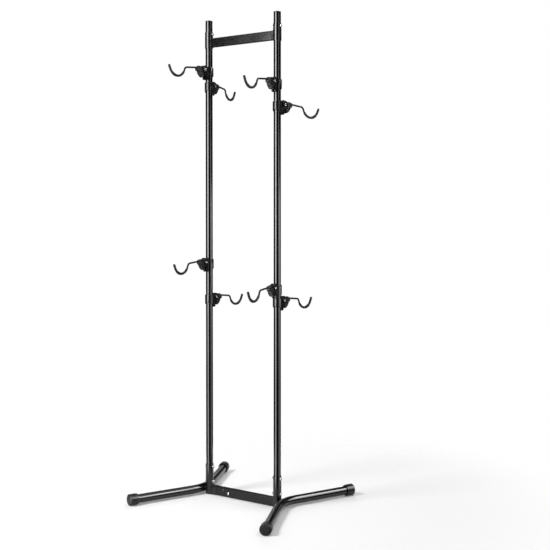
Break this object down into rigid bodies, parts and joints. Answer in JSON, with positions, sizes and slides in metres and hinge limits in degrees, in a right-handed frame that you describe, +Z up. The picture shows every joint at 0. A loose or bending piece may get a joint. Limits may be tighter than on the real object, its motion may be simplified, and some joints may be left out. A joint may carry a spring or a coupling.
{
  "type": "vertical bike rack",
  "caption": "Free-standing black steel rack: two poles on splayed feet, joined by crossbars, with sliding, swivelling and tilting wire hooks that cradle bicycles.",
  "frame": {"origin": "on the floor, midway between the two poles", "axes": "+Z up, +X from the left pole to the right pole, and the front hooks face -Y"},
  "size_m": [0.7694, 0.7164, 2.15],
  "materials": {
    "gloss_paint": "gloss black powder coat",
    "satin_paint": "satin black powder coat",
    "black_nylon": "moulded glass-filled nylon, fine grain",
    "end_cap_plastic": "moulded polypropylene, slight sheen",
    "liner_plastic": "smooth acetal",
    "wire_coating": "satin black powder coat on round wire",
    "grip_rubber": "matt moulded rubber",
    "bright_zinc": "bright zinc plate"
  },
  "bodies": {
    "frame": {"left_pole": "gloss_paint", "right_pole": "gloss_paint", "pole_caps": "end_cap_plastic", "left_socket": "gloss_paint", "right_socket": "gloss_paint", "left_foot": "gloss_paint", "right_foot": "gloss_paint", "foot_caps": "end_cap_plastic", "base_bar": "satin_paint", "top_bar": "satin_paint", "top_sleeves": "gloss_paint", "frame_fasteners": "bright_zinc"},
    "left_upper_front_liner": {"left_upper_front_liner": "liner_plastic"},
    "left_upper_front_clamp": {"left_upper_front_clamp": "black_nylon", "left_upper_front_bolt": "bright_zinc"},
    "left_upper_front_arm": {"left_upper_front_hub": "black_nylon", "left_upper_front_hook": "wire_coating", "left_upper_front_grip": "grip_rubber"},
    "left_upper_back_liner": {"left_upper_back_liner": "liner_plastic"},
    "left_upper_back_clamp": {"left_upper_back_clamp": "black_nylon", "left_upper_back_bolt": "bright_zinc"},
    "left_upper_back_arm": {"left_upper_back_hub": "black_nylon", "left_upper_back_hook": "wire_coating", "left_upper_back_grip": "grip_rubber"},
    "right_upper_front_liner": {"right_upper_front_liner": "liner_plastic"},
    "right_upper_front_clamp": {"right_upper_front_clamp": "black_nylon", "right_upper_front_bolt": "bright_zinc"},
    "right_upper_front_arm": {"right_upper_front_hub": "black_nylon", "right_upper_front_hook": "wire_coating", "right_upper_front_grip": "grip_rubber"},
    "right_upper_back_liner": {"right_upper_back_liner": "liner_plastic"},
    "right_upper_back_clamp": {"right_upper_back_clamp": "black_nylon", "right_upper_back_bolt": "bright_zinc"},
    "right_upper_back_arm": {"right_upper_back_hub": "black_nylon", "right_upper_back_hook": "wire_coating", "right_upper_back_grip": "grip_rubber"},
    "left_lower_front_liner": {"left_lower_front_liner": "liner_plastic"},
    "left_lower_front_clamp": {"left_lower_front_clamp": "black_nylon", "left_lower_front_bolt": "bright_zinc"},
    "left_lower_front_arm": {"left_lower_front_hub": "black_nylon", "left_lower_front_hook": "wire_coating", "left_lower_front_grip": "grip_rubber"},
    "left_lower_back_liner": {"left_lower_back_liner": "liner_plastic"},
    "left_lower_back_clamp": {"left_lower_back_clamp": "black_nylon", "left_lower_back_bolt": "bright_zinc"},
    "left_lower_back_arm": {"left_lower_back_hub": "black_nylon", "left_lower_back_hook": "wire_coating", "left_lower_back_grip": "grip_rubber"},
    "right_lower_front_liner": {"right_lower_front_liner": "liner_plastic"},
    "right_lower_front_clamp": {"right_lower_front_clamp": "black_nylon", "right_lower_front_bolt": "bright_zinc"},
    "right_lower_front_arm": {"right_lower_front_hub": "black_nylon", "right_lower_front_hook": "wire_coating", "right_lower_front_grip": "grip_rubber"},
    "right_lower_back_liner": {"right_lower_back_liner": "liner_plastic"},
    "right_lower_back_clamp": {"right_lower_back_clamp": "black_nylon", "right_lower_back_bolt": "bright_zinc"},
    "right_lower_back_arm": {"right_lower_back_hub": "black_nylon", "right_lower_back_hook": "wire_coating", "right_lower_back_grip": "grip_rubber"}
  },
  "joints": [
    {"name": "left_upper_front_slide", "type": "slide", "parent": "frame", "child": "left_upper_front_liner", "axis": [0, 0, 1], "range_m": [-0.0045, 0.08]},
    {"name": "left_upper_front_swivel", "type": "hinge", "parent": "left_upper_front_liner", "child": "left_upper_front_clamp", "pos_m": [-0.186, 0, 1.926], "axis": [0, 0, 1], "range_deg": [-35, 45]},
    {"name": "left_upper_front_tilt", "type": "hinge", "parent": "left_upper_front_clamp", "child": "left_upper_front_arm", "pos_m": [-0.18923, -0.03686, 1.926], "axis": [-0.9962, 0.0872, 0], "range_deg": [-20, 75]},
    {"name": "left_upper_back_slide", "type": "slide", "parent": "frame", "child": "left_upper_back_liner", "axis": [0, 0, 1], "range_m": [-0.35, 0.0045]},
    {"name": "left_upper_back_swivel", "type": "hinge", "parent": "left_upper_back_liner", "child": "left_upper_back_clamp", "pos_m": [-0.186, 0, 1.86], "axis": [0, 0, -1], "range_deg": [-31, 49]},
    {"name": "left_upper_back_tilt", "type": "hinge", "parent": "left_upper_back_clamp", "child": "left_upper_back_arm", "pos_m": [-0.19179, 0.03654, 1.86], "axis": [0.9877, 0.1564, 0], "range_deg": [-20, 75]},
    {"name": "right_upper_front_slide", "type": "slide", "parent": "frame", "child": "right_upper_front_liner", "axis": [0, 0, 1], "range_m": [-0.019, 0.16]},
    {"name": "right_upper_front_swivel", "type": "hinge", "parent": "right_upper_front_liner", "child": "right_upper_front_clamp", "pos_m": [0.186, 0, 1.846], "axis": [0, 0, 1], "range_deg": [-41.5, 38.5]},
    {"name": "right_upper_front_tilt", "type": "hinge", "parent": "right_upper_front_clamp", "child": "right_upper_front_arm", "pos_m": [0.18697, -0.03699, 1.846], "axis": [-0.9997, -0.0262, 0], "range_deg": [-20, 75]},
    {"name": "right_upper_back_slide", "type": "slide", "parent": "frame", "child": "right_upper_back_liner", "axis": [0, 0, 1], "range_m": [-0.35, 0.019]},
    {"name": "right_upper_back_swivel", "type": "hinge", "parent": "right_upper_back_liner", "child": "right_upper_back_clamp", "pos_m": [0.186, 0, 1.751], "axis": [0, 0, -1], "range_deg": [-53, 27]},
    {"name": "right_upper_back_tilt", "type": "hinge", "parent": "right_upper_back_clamp", "child": "right_upper_back_arm", "pos_m": [0.19432, 0.03605, 1.751], "axis": [0.9744, -0.225, 0], "range_deg": [-20, 75]},
    {"name": "left_lower_front_slide", "type": "slide", "parent": "frame", "child": "left_lower_front_liner", "axis": [0, 0, 1], "range_m": [-0.05, 0.35]},
    {"name": "left_lower_front_swivel", "type": "hinge", "parent": "left_lower_front_liner", "child": "left_lower_front_clamp", "pos_m": [-0.186, 0, 1.06], "axis": [0, 0, 1], "range_deg": [-41, 39]},
    {"name": "left_lower_front_tilt", "type": "hinge", "parent": "left_lower_front_clamp", "child": "left_lower_front_arm", "pos_m": [-0.18535, -0.03699, 1.06], "axis": [-0.9998, -0.0175, 0], "range_deg": [-20, 75]},
    {"name": "left_lower_back_slide", "type": "slide", "parent": "frame", "child": "left_lower_back_liner", "axis": [0, 0, 1], "range_m": [-0.7, 0.05]},
    {"name": "left_lower_back_swivel", "type": "hinge", "parent": "left_lower_back_liner", "child": "left_lower_back_clamp", "pos_m": [-0.186, 0, 0.898], "axis": [0, 0, -1], "range_deg": [-40, 40]},
    {"name": "left_lower_back_tilt", "type": "hinge", "parent": "left_lower_back_clamp", "child": "left_lower_back_arm", "pos_m": [-0.186, 0.037, 0.898], "axis": [1, 0, 0], "range_deg": [-20, 75]},
    {"name": "right_lower_front_slide", "type": "slide", "parent": "frame", "child": "right_lower_front_liner", "axis": [0, 0, 1], "range_m": [0, 0.35]},
    {"name": "right_lower_front_swivel", "type": "hinge", "parent": "right_lower_front_liner", "child": "right_lower_front_clamp", "pos_m": [0.186, 0, 0.9575], "axis": [0, 0, 1], "range_deg": [-45.5, 34.5]},
    {"name": "right_lower_front_tilt", "type": "hinge", "parent": "right_lower_front_clamp", "child": "right_lower_front_arm", "pos_m": [0.18955, -0.03683, 0.9575], "axis": [-0.9954, -0.0958, 0], "range_deg": [-20, 75]},
    {"name": "right_lower_back_slide", "type": "slide", "parent": "frame", "child": "right_lower_back_liner", "axis": [0, 0, 1], "range_m": [-0.7, 0]},
    {"name": "right_lower_back_swivel", "type": "hinge", "parent": "right_lower_back_liner", "child": "right_lower_back_clamp", "pos_m": [0.186, 0, 0.9012], "axis": [0, 0, -1], "range_deg": [-43.5, 36.5]},
    {"name": "right_lower_back_tilt", "type": "hinge", "parent": "right_lower_back_clamp", "child": "right_lower_back_arm", "pos_m": [0.18826, 0.03693, 0.9012], "axis": [0.9981, -0.061, 0], "range_deg": [-20, 75]}
  ]
}
